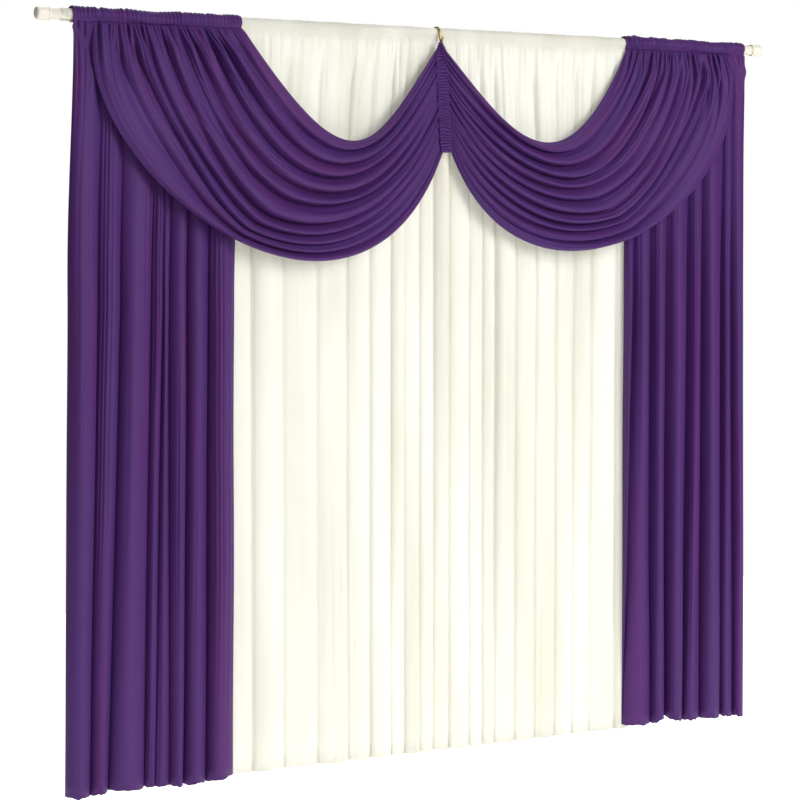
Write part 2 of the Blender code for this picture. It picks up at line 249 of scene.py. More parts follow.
# Swags: handles of the curves along the top edge and the bottom edge,
# from the heading to the centre strip, as x, y, z
LEFT_SWAG_TOP = (
    (-0.516, -0.0112, -0.0122),
    (-0.246, -0.062, -0.395),
    (-0.201, -0.058, -0.312),
    (0.015, -0.0235, -0.026),
)
LEFT_SWAG_BOTTOM = (
    (-0.888, -0.0112, -0.0122),
    (-1.003, -0.078, -0.365),
    (-0.225, -0.078, -0.880),
    (0.024, -0.0275, -0.286),
)
RIGHT_SWAG_TOP = (
    (0.583, -0.0112, -0.0122),
    (0.344, -0.062, -0.445),
    (0.188, -0.058, -0.224),
    (0.016, -0.0245, -0.025),
)
RIGHT_SWAG_BOTTOM = (
    (0.912, -0.0112, -0.0122),
    (0.992, -0.078, -0.415),
    (0.235, -0.078, -0.795),
    (0.049, -0.0275, -0.293),
)

# Swag folds: how far down from the top edge each valley lies at the heading,
# at the lowest point and at the strip, and how far the ridge below it stands out
LEFT_SWAG_FOLDS = (
    (0.0, 0.0, 0.0, 0.014),
    (0.116, 0.105, 0.11, 0.018),
    (0.204, 0.235, 0.21, 0.018),
    (0.286, 0.360, 0.31, 0.019),
    (0.380, 0.490, 0.41, 0.017),
    (0.469, 0.595, 0.51, 0.020),
    (0.585, 0.740, 0.61, 0.016),
    (0.690, 0.830, 0.71, 0.014),
    (0.790, 0.900, 0.81, 0.012),
    (0.900, 0.950, 0.91, 0.012),
    (1.0, 1.0, 1.0, 0.0),
)
RIGHT_SWAG_FOLDS = (
    (0.0, 0.0, 0.0, 0.015),
    (0.120, 0.130, 0.11, 0.018),
    (0.230, 0.270, 0.21, 0.018),
    (0.330, 0.390, 0.31, 0.017),
    (0.430, 0.490, 0.41, 0.017),
    (0.530, 0.600, 0.51, 0.018),
    (0.630, 0.700, 0.61, 0.018),
    (0.730, 0.790, 0.71, 0.015),
    (0.830, 0.860, 0.81, 0.014),
    (0.920, 0.930, 0.91, 0.013),
    (1.0, 1.0, 1.0, 0.0),
)
SWAG_EDGE_RELIEF = 0.10
SWAG_RELIEF_POWER = 1.2
SWAG_LOW_BAND = 0.2
SWAG_RIDGE_DROP = 0.15

# The stitched line of a swag's hem and the width of its dent, as shares of the way from the top
# edge to the bottom edge, and the dent's depth
SWAG_HEM = 0.972
SWAG_HEM_WIDTH = 0.006
SWAG_HEM_DENT = 0.0020

# The close pleats that run into the strip: how far they stand out, and in what share of the way
# from the heading to the strip they fade
SWAG_STRIP_PLEATS = 0.0045
SWAG_STRIP_REACH = 0.12

# Centre strip
STRIP_TOP_Z = -0.0232
STRIP_BOTTOM_Z = -0.292
STRIP_TOP_X = 0.0125
STRIP_BOTTOM_X = 0.0280
STRIP_TOP_Y = -0.0340
STRIP_BOTTOM_Y = -0.0370
STRIP_LEAN = 0.6
STRIP_WIDTH = 0.033
STRIP_TIP_WIDTH = 0.004
STRIP_SHOULDER = 0.030
STRIP_RAGGED = 0.0012

# Hanging loop
LOOP_BORE_RADIUS = 0.0028
LOOP_SEGMENTS = 32

# Blender's wave texture repeats each tau / 20 of its coordinate
WAVE_REPEAT = math.tau / 20

# Sizes of the patterns in the finishes: how many of each to a metre
KNIT_GRAINS = 420.0
KNIT_STREAKS = (14.0, 1.1, 1.0)
VOILE_CLOUDS = (6.0, 1.3, 1.0)
ENAMEL_PEELS = 900.0
ENAMEL_SCUFFS = 60.0
BRASS_STAINS = 180.0

# Soft lights: where each stands and how long its side is, and the point that they face
KEY_LIGHT = (Vector((1.6, -4.8, 1.0)), 3.2)
FILL_LIGHT = (Vector((-3.4, -5.6, 0.4)), 2.4)
BACK_LIGHT = (Vector((0.0, 2.6, 1.9)), 2.6)
LIGHT_AIM = Vector((0.0, 0.0, -0.6))


def srgb(hex_code):
    """An sRGB hex colour as linear red, green and blue."""
    shares = [int(hex_code[place : place + 2], 16) / 255 for place in (1, 3, 5)]
    return tuple(s / 12.92 if s <= 0.04045 else ((s + 0.055) / 1.055) ** 2.4 for s in shares)


def blend(start, end, share):
    return start + (end - start) * share


def smooth(value):
    value = min(1.0, max(0.0, value))
    return value * value * (3.0 - 2.0 * value)


def bell(value):
    """1 at 0, falling off softly to 0 on both sides."""
    return math.exp(-(value**2))


def bumps(across, down, seed):
    """Soft uneven waves between -1 and 1, the same on every run."""
    return noise.noise(Vector((across, down, seed)))


def pleats(across, down, seed, roundness=0.5):
    """Ridges with valleys between them, one to each unit across, uneven in place and height.
    A low roundness makes broad ridges with sharp valleys, a high one makes broad valleys."""
    spot = across + 0.9 * bumps(across * 0.5, down, seed)
    height = 0.7 + 0.6 * bumps(across * 0.37, down * 0.6, seed + 20.0)
    return height * abs(math.sin(math.pi * spot)) ** roundness


def gathers(rows, x, level, roundness):
    """The small pleats that a heading is drawn up in, at a place along the rod and a depth below it."""
    total = 0.0
    for height, count, wander, seed, fade in rows:
        total += height * pleats(x * count, level * wander, seed, roundness) * math.exp(-level / fade)
    return total


def crease(x, level, ends, width):
    """How near a point lies to a straight crease between two ends: 1 on it, 0 well away from it."""
    start = Vector(ends[0])
    run = Vector(ends[1]) - start
    from_start = Vector((x, level)) - start
    share = min(1.0, max(0.0, from_start.dot(run) / run.length_squared))
    return bell((from_start - run * share).length / width)


def on_circle(radius, degrees):
    """A point in the rod's section, turned from the bottom towards the room."""
    angle = math.radians(degrees)
    return Vector((0.0, -radius * math.sin(angle), -radius * math.cos(angle)))


def fold_at(folds, share):
    """The number of the fold that a share of the cloth lies in, and the share across that fold."""
    spot = min(share * (len(folds) - 1), len(folds) - 1.000001)
    return int(spot), spot - int(spot)


def fold_value(folds, number, share, column):
    """A column of a table of folds, part way from one row to the next."""
    return blend(folds[number][column], folds[number + 1][column], share)


def fold_section(share, crest, roundness):
    """A fold's section between two valleys: 0 in the valleys, 1 on the crest."""
    turn = 0.5 * share / crest if share < crest else 0.5 + 0.5 * (share - crest) / (1.0 - crest)
    return math.sin(math.pi * min(1.0, max(0.0, turn))) ** roundness


def finish_piece(piece, slot, *nodes):
    """Fixes a finished piece to the solids and hides the solids that it stands for. The slot is not used.
    """
    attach(piece, "root")
    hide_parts(*nodes)


def add_object(name, data):
    """An object with this mesh, curve, light or camera, put in the scene."""
    thing = bpy.data.objects.new(name, data)
    bpy.context.scene.collection.objects.link(thing)
    return thing


def add_piece(name, bm, material):
    mesh = bpy.data.meshes.new(name)
    bm.to_mesh(mesh)
    bm.free()
    mesh.materials.append(material)
    mesh.shade_smooth()
    return add_object(name, mesh)


def turn_section(bm, points, axis, steps, closed=False):
    """Joins points into a section and turns it full round an axis through the origin."""
    joined = points + points[:1] if closed else points
    edges = [bm.edges.new(pair) for pair in zip(joined, joined[1:])]
    bmesh.ops.spin(
        bm,
        geom=points + edges,
        cent=(0.0, 0.0, 0.0),
        axis=axis,
        angle=math.tau,
        steps=steps,
        use_merge=True,
    )
    bmesh.ops.remove_doubles(bm, verts=bm.verts, dist=0.00001)
    bmesh.ops.recalc_face_normals(bm, faces=bm.faces)


def make_cloth(name, grid, place, flat, thickness, material, turned=False):
    """A cloth from a flat grid. place gives a point by its shares across and down the grid.
    The ribs of the cloth run down the grid, or across it if the cloth is turned."""
    bm = bmesh.new()
    bmesh.ops.create_grid(bm, x_segments=grid[0], y_segments=grid[1], size=0.5)
    threads = bm.loops.layers.uv.new("threads")
    for face in bm.faces:
        for corner in face.loops:
            across = (corner.vert.co.x + 0.5) * flat[0]
            along = (corner.vert.co.y + 0.5) * flat[1]
            corner[threads].uv = (along, across) if turned else (across, along)
    for vert in bm.verts:
        vert.co = place(vert.co.x + 0.5, 0.5 - vert.co.y)
    cloth = add_piece(name, bm, material)
    wall = cloth.modifiers.new("thickness", "SOLIDIFY")
    wall.thickness = thickness
    wall.offset = 0.0
    wall.use_rim = True
    return cloth


def add_node(tree, kind, settings=None, values=None, links=None):
    """Adds a node with its own settings, its sockets' values and what feeds them."""
    node = tree.nodes.new(kind)
    for name, value in (settings or {}).items():
        setattr(node, name, value)
    for socket, value in (values or {}).items():
        node.inputs[socket].default_value = value
    for socket, source in (links or {}).items():
        tree.links.new(source, node.inputs[socket])
    return node


def new_material(name, values):
    """A material with a Principled shader set to these values, its node tree and that shader."""
    material = bpy.data.materials.new(name)
    material.use_nodes = True
    tree = material.node_tree
    shader = tree.nodes["Principled BSDF"]
    for socket, value in values.items():
        shader.inputs[socket].default_value = value
    return material, tree, shader


def set_ramp(ramp, stops):
    """Sets a colour ramp's stops, each a place and a linear colour."""
    elements = ramp.color_ramp.elements
    while len(elements) < len(stops):
        elements.new(0.5)
    for element, (position, colour) in zip(elements, stops):
        element.position = position
        element.color = (*colour, 1.0)


def knit_material(settings):
    """Warp-knitted polyester, dyed purple: matt, with fine ribs along the cloth and a soft bloom."""
    found = bpy.data.materials.get("dyed_polyester_knit")
    if found:
        return found
    values = {
        "Roughness": 0.62,
        "Specular IOR Level": 0.25,
        "Sheen Weight": 0.08,
        "Sheen Roughness": 0.45,
        "Sheen Tint": (*srgb("#9C7FBE"), 1.0),
    }
    material, tree, shader = new_material("dyed_polyester_knit", values)
    threads = add_node(tree, "ShaderNodeUVMap", {"uv_map": "threads"}).outputs["UV"]
    along = add_node(
        tree, "ShaderNodeMapping", values={"Scale": KNIT_STREAKS}, links={"Vector": threads}
    )
    streaks = add_node(
        tree,
        "ShaderNodeTexNoise",
        values={"Scale": 1.0, "Detail": 3.0, "Roughness": 0.55},
        links={"Vector": along.outputs["Vector"]},
    )
    tints = add_node(tree, "ShaderNodeValToRGB", links={"Fac": streaks.outputs["Fac"]})
    base = Vector(settings.knit_colour)
    red = Vector(settings.knit_red_tint)
    blue = Vector(settings.knit_blue_tint)
    set_ramp(tints, ((0.36, blue), (0.5, base), (0.64, red)))
    ribs = add_node(
        tree,
        "ShaderNodeTexWave",
        {"wave_type": "BANDS", "bands_direction": "X"},
        {"Scale": WAVE_REPEAT / settings.knit_rib, "Distortion": 0.6, "Detail": 1.0},
        {"Vector": threads},
    )
    grain = add_node(
        tree, "ShaderNodeTexNoise", values={"Scale": KNIT_GRAINS, "Detail": 2.0}, links={"Vector": threads}
    )
    relief = add_node(
        tree,
        "ShaderNodeMath",
        {"operation": "MULTIPLY_ADD"},
        {1: 0.5},
        {0: grain.outputs["Fac"], 2: ribs.outputs["Fac"]},
    )
    bump = add_node(
        tree,
        "ShaderNodeBump",
        values={"Strength": 0.25, "Distance": 0.0004},
        links={"Height": relief.outputs["Value"]},
    )
    tree.links.new(tints.outputs["Color"], shader.inputs["Base Color"])
    tree.links.new(bump.outputs["Normal"], shader.inputs["Normal"])
    return material


def voile_material(settings):
    """Woven polyester voile: a thin open cloth that lets the light behind it glow through."""
    values = {"Roughness": 0.8, "Specular IOR Level": 0.2}
    material, tree, shader = new_material("woven_polyester_voile", values)
    threads = add_node(tree, "ShaderNodeUVMap", {"uv_map": "threads"}).outputs["UV"]
    along = add_node(
        tree, "ShaderNodeMapping", values={"Scale": VOILE_CLOUDS}, links={"Vector": threads}
    )
    clouds = add_node(
        tree,
        "ShaderNodeTexNoise",
        values={"Scale": 1.0, "Detail": 3.0},
        links={"Vector": along.outputs["Vector"]},
    )
    tints = add_node(tree, "ShaderNodeValToRGB", links={"Fac": clouds.outputs["Fac"]})
    cream = Vector(settings.voile_colour)
    shade = Vector(settings.voile_shade)
    set_ramp(tints, ((0.35, shade), (0.62, cream)))
    warp, weft = (
        add_node(
            tree,
            "ShaderNodeTexWave",
            {"wave_type": "BANDS", "bands_direction": direction},
            {"Scale": WAVE_REPEAT / settings.voile_thread, "Distortion": 1.5, "Detail": 1.0},
            {"Vector": threads},
        )
        for direction in ("X", "Y")
    )
    weave = add_node(
        tree,
        "ShaderNodeMath",
        {"operation": "MAXIMUM"},
        links={0: warp.outputs["Fac"], 1: weft.outputs["Fac"]},
    )
    closed = add_node(
        tree,
        "ShaderNodeMapRange",
        values={
            "From Min": 0.0,
            "From Max": 1.0,
            "To Min": 1.0 - 1.5 * settings.voile_sheerness,
            "To Max": 1.0 - 0.5 * settings.voile_sheerness,
        },
        links={"Value": weave.outputs["Value"]},
    )
    glow = add_node(tree, "ShaderNodeBsdfTranslucent", links={"Color": tints.outputs["Color"]})
    clear = add_node(tree, "ShaderNodeBsdfTransparent")
    cloth = add_node(
        tree,
        "ShaderNodeMixShader",
        values={"Fac": settings.voile_glow},
        links={1: shader.outputs["BSDF"], 2: glow.outputs["BSDF"]},
    )
    sheer = add_node(
        tree,
        "ShaderNodeMixShader",
        links={0: closed.outputs["Result"], 1: clear.outputs["BSDF"], 2: cloth.outputs["Shader"]},
    )
    tree.links.new(tints.outputs["Color"], shader.inputs["Base Color"])
    tree.links.new(sheer.outputs["Shader"], tree.nodes["Material Output"].inputs["Surface"])
    return material


def enamel_material(name, colour, roughness):
    """White enamel or moulded plastic: smooth, pale, with a slight orange peel that softens its gloss."""
    material, tree, shader = new_material(name, {"Base Color": (*colour, 1.0), "IOR": 1.5})
    place = add_node(tree, "ShaderNodeTexCoord").outputs["Object"]
    peel = add_node(
        tree, "ShaderNodeTexNoise", values={"Scale": ENAMEL_PEELS, "Detail": 2.0}, links={"Vector": place}
    )
    scuffs = add_node(
        tree, "ShaderNodeTexNoise", values={"Scale": ENAMEL_SCUFFS, "Detail": 4.0}, links={"Vector": place}
    )
    gloss = add_node(
        tree,
        "ShaderNodeMapRange",
        values={"To Min": roughness - 0.06, "To Max": roughness + 0.12},
        links={"Value": scuffs.outputs["Fac"]},
    )
    bump = add_node(
        tree,
        "ShaderNodeBump",
        values={"Strength": 0.15, "Distance": 0.0002},
        links={"Height": peel.outputs["Fac"]},
    )
    tree.links.new(gloss.outputs["Result"], shader.inputs["Roughness"])
    tree.links.new(bump.outputs["Normal"], shader.inputs["Normal"])
    return material


def brass_material(colour):
    """Drawn brass wire: a warm metal, dulled in soft patches."""
    material, tree, shader = new_material("drawn_brass", {"Base Color": (*colour, 1.0), "Metallic": 1.0})
    place = add_node(tree, "ShaderNodeTexCoord").outputs["Object"]
    tarnish = add_node(
        tree, "ShaderNodeTexNoise", values={"Scale": BRASS_STAINS, "Detail": 4.0}, links={"Vector": place}
    )
    dulled = add_node(
        tree,
        "ShaderNodeMapRange",
        values={"To Min": 0.28, "To Max": 0.5},
        links={"Value": tarnish.outputs["Fac"]},
    )
    tree.links.new(dulled.outputs["Result"], shader.inputs["Roughness"])
    return material


def floor_material(colour):
    """Matt pale studio floor, lit a little from within so that it is as white as its surround."""
    values = {
        "Base Color": (*colour, 1.0),
        "Roughness": 0.9,
        "Emission Color": (*colour, 1.0),
        "Emission Strength": 0.72,
    }
    return new_material("matt_studio_paint", values)[0]


def build_rod(settings):
    """The steel tube, drawn as one round bar with softened ends."""
    low, high = ROD_BOX
    radius = high.z
    bm = bmesh.new()
    bmesh.ops.create_cone(
        bm, cap_ends=True, segments=ROUND_SEGMENTS, radius1=radius, radius2=radius, depth=high.x - low.x
    )
    ends = [edge for edge in bm.edges if len({len(face.verts) for face in edge.link_faces}) > 1]
    bmesh.ops.bevel(
        bm, geom=ends, offset=ROD_END_BEVEL, segments=2, profile=0.5, affect="EDGES", material=-1
    )
    bmesh.ops.rotate(bm, verts=bm.verts, matrix=Matrix.Rotation(math.pi / 2, 3, "Y"))
    rod = add_piece("rod_tube", bm, enamel_material("white_stove_enamel", settings.enamel_colour, 0.35))
    rod.data.set_sharp_from_angle(angle=math.radians(40))
    finish_piece(rod, "rod_enamel", "rod")


def build_cap(name, node, side, material):
    """A moulded cap with a flared mouth, turned from its half section."""
    low, high = CAP_BOX
    outer = high.z
    bore = ROD_BOX[1].z + CAP_BORE_GAP
    mouth = outer - CAP_FLARE
    section = (
        (high.x - CAP_END_WALL, 0.0),
        (high.x - CAP_END_WALL, bore),
        (low.x + 0.004, bore),
        (low.x + 0.0005, mouth - 0.0003),
        (low.x, mouth),
        (low.x, outer - 0.0002),
        (low.x + 0.0004, outer),
        (low.x + 0.0050, outer),
        (low.x + 0.0056, outer - 0.0006),
        (low.x + 0.0070, outer - 0.0006),
        (low.x + 0.0076, outer),
        (high.x - 0.0060, outer),
        (high.x - 0.0035, outer - 0.0006),
        (high.x - 0.0016, outer - 0.0019),
        (high.x - 0.0004, outer - 0.0040),
        (high.x, outer - 0.0070),
        (high.x, 0.0),
    )
    bm = bmesh.new()
    points = [bm.verts.new((side * x, 0.0, radius)) for x, radius in section]
    turn_section(bm, points, (1.0, 0.0, 0.0), ROUND_SEGMENTS)
    cap = add_piece(name, bm, material)
    cap.data.set_sharp_from_angle(angle=math.radians(50))
    finish_piece(cap, "cap_plastic", node)


def build_hook(settings):
    """A brass wire hook that rides on the rod and curls up in front of it."""
    wire = (HOOK_BOX[1].x - HOOK_BOX[0].x) / 2
    arch = Vector((HOOK_X, 0.0, HOOK_BOX[1].z - wire - HOOK_ARCH_RADIUS))
    front = arch + on_circle(HOOK_ARCH_RADIUS, HOOK_FRONT_ANGLE)
    curl = front - Vector((0.0, HOOK_CURL_RADIUS + HOOK_CURL_FORWARD, HOOK_CURL_DROP))
    radius = HOOK_ARCH_RADIUS + (HOOK_WIRE_SWELL - 1.0) * wire
    path = [arch + on_circle(radius, degrees) for degrees in HOOK_ARCH_ANGLES]
    for degrees in HOOK_CURL_ANGLES:
        angle = math.radians(degrees)
        path.append(curl + Vector((0.0, math.cos(angle), -math.sin(angle))) * HOOK_CURL_RADIUS)
    curve = bpy.data.curves.new("hook_wire", "CURVE")
    curve.dimensions = "3D"
    curve.bevel_depth = wire * HOOK_WIRE_SWELL
    curve.bevel_resolution = 4
    curve.use_fill_caps = True
    spline = curve.splines.new("POLY")
    spline.points.add(len(path) - 1)
    for point, spot in zip(spline.points, path):
        point.co = (*spot, 1.0)
    curve.materials.append(brass_material(settings.brass_colour))
    finish_piece(add_object("hook_wire", curve), "hook_brass", "hook")


def pocket_point(radius, turned_end, share, slack=0.0):
    """The pocket's section, from the turned-over end behind the rod round to the front.
    Where it is slack, its lower edge sags in front of the seam."""
    start = Vector((0.0, *turned_end))
    if share < POCKET_TURNED_SHARE:
        return blend(start, on_circle(radius, POCKET_FIRST_ANGLE), share / POCKET_TURNED_SHARE)
    last_angle = POCKET_LAST_ANGLE - POCKET_SLACK_ANGLE * slack
    sag = 1.0 + POCKET_SLACK_SAG * slack * smooth((share - 0.65) / 0.35)
    turned = (share - POCKET_TURNED_SHARE) / (1.0 - POCKET_TURNED_SHARE)
    return on_circle(radius * sag, blend(POCKET_FIRST_ANGLE, last_angle, turned))


def build_voile(settings):
    """The sheer cloth behind everything, gathered on the rod along its whole width.
    Its pleats are left out under the purple pockets, and pressed flat under the hook."""
    puckers, pucker_height = VOILE_PUCKERS
    wrinkle_height, wrinkles = VOILE_WRINKLES

    def place(across, down):
        number, share = fold_at(VOILE_FOLDS, across)
        heading_x = fold_value(VOILE_FOLDS, number, share, 0)
        low_x = fold_value(VOILE_FOLDS, number, share, 1)
        shown = smooth((heading_x - VOILE_SHOWN_LEFT) / VOILE_SHOWN_FADE)
        shown *= smooth((VOILE_SHOWN_RIGHT - heading_x) / VOILE_SHOWN_FADE)
        shown *= smooth(abs(heading_x - HOOK_X) / HOOK_PRESS_WIDTH)
        if down < VOILE_POCKET_SHARE:
            spot = pocket_point(VOILE_POCKET_RADIUS, VOILE_TURNED_END, down / VOILE_POCKET_SHARE)
            around = shown * math.sin(math.pi * down / VOILE_POCKET_SHARE)
            swell = 1.0 + pucker_height * pleats(heading_x * puckers, down * 3.0, 4.4) * around
            overhang = VOILE_POCKET_OVERHANG * smooth(1.0 - across * 60.0)
            return Vector((heading_x - overhang, spot.y * swell, spot.z * swell))
        fall = (down - VOILE_POCKET_SHARE) / (1.0 - VOILE_POCKET_SHARE)
        rise = VOILE_RIGHT_RISE * smooth((low_x - VOILE_SHOWN_RIGHT) / VOILE_RISE_WIDTH)
        level = blend(-SEAM_Z, VOILE_DROP - rise, fall**VOILE_ROW_POWER)
        opened = smooth((level + SEAM_Z) / OPENING_DROP)
        uneven = 1.2 + 0.8 * bumps(number * 2.7, level * 0.7, 8.8)
        crest = 0.5 + 0.35 * bumps(number * 1.3, level * 0.4, 2.6)
        ridge = VOILE_FOLDS[number][2] * fold_section(share, crest, VOILE_FOLD_ROUNDNESS) * uneven
        small = gathers(VOILE_GATHERS, heading_x, level, 0.5)
        small *= shown * smooth((level + SEAM_Z) / 0.02)
        patch = smooth(0.3 + 2.0 * bumps(heading_x * 5.0, level * 1.4, 6.6))
        small += wrinkle_height * patch * pleats(low_x * wrinkles, level * 0.35, 9.2) * opened * shown
        y = blend(VOILE_SEAM_Y, VOILE_BACK_Y - ridge, opened) - small
        x = blend(heading_x, low_x, smooth(level / VOILE_LEAN_DROP))
        x += VOILE_SIDE_INSET * smooth(1.0 - across * 40.0)
        return Vector((x, y, -level))

    flat = (settings.voile_flat_width, settings.voile_flat_length)
    cloth = make_cloth(
        "voile_cloth", VOILE_GRID, place, flat, settings.voile_thickness, voile_material(settings)
    )
    finish_piece(cloth, "voile", "voile")


def panel_x(folds, number, share, level):
    """Where a point of the panel hangs, by its place across the folds and its depth."""
    top, middle, low = PANEL_FOLD_LEVELS
    heading, half_way, hem = (fold_value(folds, number, share, column) for column in range(3))
    if level < middle:
        return blend(heading, half_way, smooth((level - top) / (middle - top)))
    return blend(half_way, hem, (level - middle) / (low - middle))


def panel_opening(level):
    """How far the folds have opened below the heading, from 0 to 1."""
    early = smooth((level + SEAM_Z) / OPENING_DROP)
    late = smooth((level - PANEL_LATE_START) / PANEL_LATE_DROP)
    return blend(late, early, PANEL_EARLY_OPENING)


def build_panel(name, node, settings, folds, lean, roundness, slack_place, creases, frills):
    """A side panel: a tight rod pocket, small gathers under it and long folds down to the hem."""
    puckers, pucker_height = PANEL_PUCKERS
    wrinkle_height, wrinkles = PANEL_WRINKLES
    seed = folds[0][0] * 10.0

    def place(across, down):
        number, share = fold_at(folds, across)
        heading_x = fold_value(folds, number, share, 0)
        if down < PANEL_POCKET_SHARE:
            slack = bell((heading_x - slack_place) / PANEL_SLACK_WIDTH)
            share_round = down / PANEL_POCKET_SHARE
            spot = pocket_point(PANEL_POCKET_RADIUS, PANEL_TURNED_END, share_round, slack)
            ripple = pucker_height * pleats(heading_x * puckers, down * 2.0, 1.5, 0.8)
            ripple *= 1.0 - 0.7 * slack
            swell = 1.0 + (0.02 + ripple) * math.sin(math.pi * share_round) ** 0.4
            return Vector((heading_x, spot.y * swell, spot.z * swell))
        fall = (down - PANEL_POCKET_SHARE) / (1.0 - PANEL_POCKET_SHARE)
        drop = fold_value(folds, number, share, 4)
        drop += PANEL_HEM_WAVE * bumps(across * 46.0, 0.0, seed + 7.0)
        level = blend(-SEAM_Z, drop, fall**PANEL_ROW_POWER)
        uneven = 1.12 + 0.2 * bumps(number * 3.7, level * 1.6, seed)
        crest = 0.5 + 0.2 * bumps(number * 1.7, level * 0.6, seed + 3.0)
        sharpness = blend(roundness, PANEL_HEM_ROUNDNESS, smooth((level - 1.1) / 0.6))
        width = abs(panel_x(folds, number, 1.0, level) - panel_x(folds, number, 0.0, level))
        ridge = folds[number][3] * fold_section(share, crest, sharpness) * uneven
        ridge *= panel_opening(level) * smooth(width / PANEL_MERGED_WIDTH)
        back = blend(PANEL_SEAM_Y, PANEL_BACK_Y, smooth((level + SEAM_Z) / OPENING_DROP))
        below = smooth((level + SEAM_Z) / 0.008)
        small = PANEL_GATHER_HEIGHT * gathers(KNIT_GATHERS, heading_x, level, 0.8) * below
        patch = smooth(0.4 + 1.6 * bumps(across * 7.0, level * 1.3, seed + 5.0))
        small += wrinkle_height * patch * pleats(across * wrinkles, level * 0.5, seed + 5.0) * below
        for ends, crease_width, depth in creases:
            small = max(0.0, small - depth * crease(heading_x, level, ends, crease_width))
        x = panel_x(folds, number, share, level) - lean * ridge
        x += PANEL_SWAY * bumps(number * 2.3 + share, level * 2.2, seed + 9.0) * smooth(level / 0.3)
        for frill_level, half_height, reach in frills:
            x += reach * bell((level - frill_level) / half_height) * smooth((across - 0.95) / 0.05)
        return Vector((x, back - ridge - small, -level))

    flat = (settings.panel_flat_width, settings.panel_flat_length)
    cloth = make_cloth(name, PANEL_GRID, place, flat, settings.knit_thickness, knit_material(settings))
    finish_piece(cloth, "purple_knit", node)


def edge_point(handles, share):
    """A point on the cubic curve with these four handles."""
    rest = 1.0 - share
    weights = (rest**3, 3 * rest**2 * share, 3 * rest * share**2, share**3)
    point = Vector((0.0, 0.0, 0.0))
    for weight, handle in zip(weights, handles):
        point += Vector(handle) * weight
    return point


def fold_depth_share(row, along, seed):
    """How far down from the top edge a valley lies, part way from the heading to the strip."""
    heading, lowest, strip = row[:3]
    wander = 0.09 * bumps(heading * 9.0, along * 3.0, seed) * heading * (1.0 - heading)
    if along < 0.5:
        share = blend(heading, lowest, smooth(along * 2.0))
        low_band = SWAG_LOW_BAND * share**3 * (1.0 - share**12) * math.sin(math.tau * along)
        return share + wander - low_band
    return blend(lowest, strip, smooth(along * 2.0 - 1.0)) + wander


def build_swag(name, node, settings, top_edge, bottom_edge, folds, lean):
    """A swag: folds that run from the gathered heading down in arcs and up to the centre strip."""
    wrinkle_height, wrinkles = SWAG_WRINKLES
    heading_side = math.copysign(1.0, top_edge[0][0])
    seed = heading_side * 4.0

    def place(across, down):
        along = across if heading_side < 0 else 1.0 - across
        along = blend(along * along, along, 0.4)
        number, share = fold_at(folds, down)
        above, below = (fold_depth_share(folds[spot], along, seed) for spot in (number, number + 1))
        depth_share = blend(above, below, share)
        point = blend(edge_point(top_edge, along), edge_point(bottom_edge, along), depth_share)
        swell = max(math.sin(math.pi * along) ** SWAG_RELIEF_POWER, 0.9 * (1.0 - along) ** 2)
        fullness = blend(SWAG_EDGE_RELIEF, 1.0, swell) * smooth(along / 0.06)
        uneven = 1.45 + 0.7 * bumps(number * 3.1, along * 3.2, seed)
        crest = blend(0.5, 0.7, math.sin(math.pi * along)) + 0.1 * bumps(number * 1.9, along, seed + 8.0)
        ridge = folds[number][3] * fold_section(share, crest, SWAG_FOLD_ROUNDNESS) * fullness * uneven
        heading_x = blend(top_edge[0][0], bottom_edge[0][0], depth_share)
        near_strip = math.exp(-(1.0 - along) / SWAG_STRIP_REACH)
        small = SWAG_GATHER_HEIGHT * gathers(KNIT_GATHERS, heading_x, -point.z, 0.9)
        small *= smooth(along / 0.010)
        small *= smooth(0.2 + (1.0 - depth_share) / 0.08)
        point.x -= lean * small
        small += SWAG_STRIP_PLEATS * pleats(depth_share * 22.0, along * 2.0, seed + 2.0) * near_strip
        patch = smooth(0.35 + 1.8 * bumps(down * 8.0, along * 3.0, seed + 6.0))
        creased = pleats(down * wrinkles, along * 1.2, seed + 6.0, 0.8)
        small += wrinkle_height * patch * creased * fullness
        small -= SWAG_HEM_DENT * bell((down - SWAG_HEM) / SWAG_HEM_WIDTH)
        point.y -= ridge + small
        point.z -= SWAG_RIDGE_DROP * ridge
        return point

    flat = (settings.swag_flat_width, settings.swag_flat_length)
    cloth = make_cloth(
        name, SWAG_GRID, place, flat, settings.knit_thickness, knit_material(settings), turned=True
    )
    finish_piece(cloth, "purple_knit", node)


def strip_middle(z):
    """The middle of the centre strip at a height, and half its width there."""
    share = (z - STRIP_TOP_Z) / (STRIP_BOTTOM_Z - STRIP_TOP_Z)
    x = blend(STRIP_TOP_X, STRIP_BOTTOM_X, share)
    y = blend(STRIP_TOP_Y, STRIP_BOTTOM_Y, max(0.0, share) ** STRIP_LEAN)
    shoulder = min(1.0, max(0.0, (STRIP_TOP_Z - z) / STRIP_SHOULDER))
    width = blend(STRIP_TIP_WIDTH, STRIP_WIDTH, shoulder**0.6)
    return Vector((x, y, z)), width / 2


def build_strip(settings):
    """The ruched strip where the swags meet: a band drawn up into close, uneven crinkles."""

    def place(across, down):
        z = blend(STRIP_TOP_Z, STRIP_BOTTOM_Z, down)
        middle, half = strip_middle(z)
        side = across * 2.0 - 1.0
        wander = 0.8 * bumps(side * 1.1, z * 42.0, 2.2)
        wave = abs(math.sin(math.pi * (z / settings.ruche_spacing + wander)))
        crown = wave**0.9 * settings.ruche_height * (1.0 - 0.6 * abs(side) ** 3)
        ragged = STRIP_RAGGED * bumps(z * 160.0, side, 6.4) * abs(side) ** 2
        return middle + Vector((side * half + ragged, -crown, 0.0))

    flat = (STRIP_WIDTH, settings.strip_flat_length)
    cloth = make_cloth(
        "strip_ruched", STRIP_GRID, place, flat, settings.knit_thickness, knit_material(settings)
    )
    finish_piece(cloth, "purple_knit", "centre_strip")


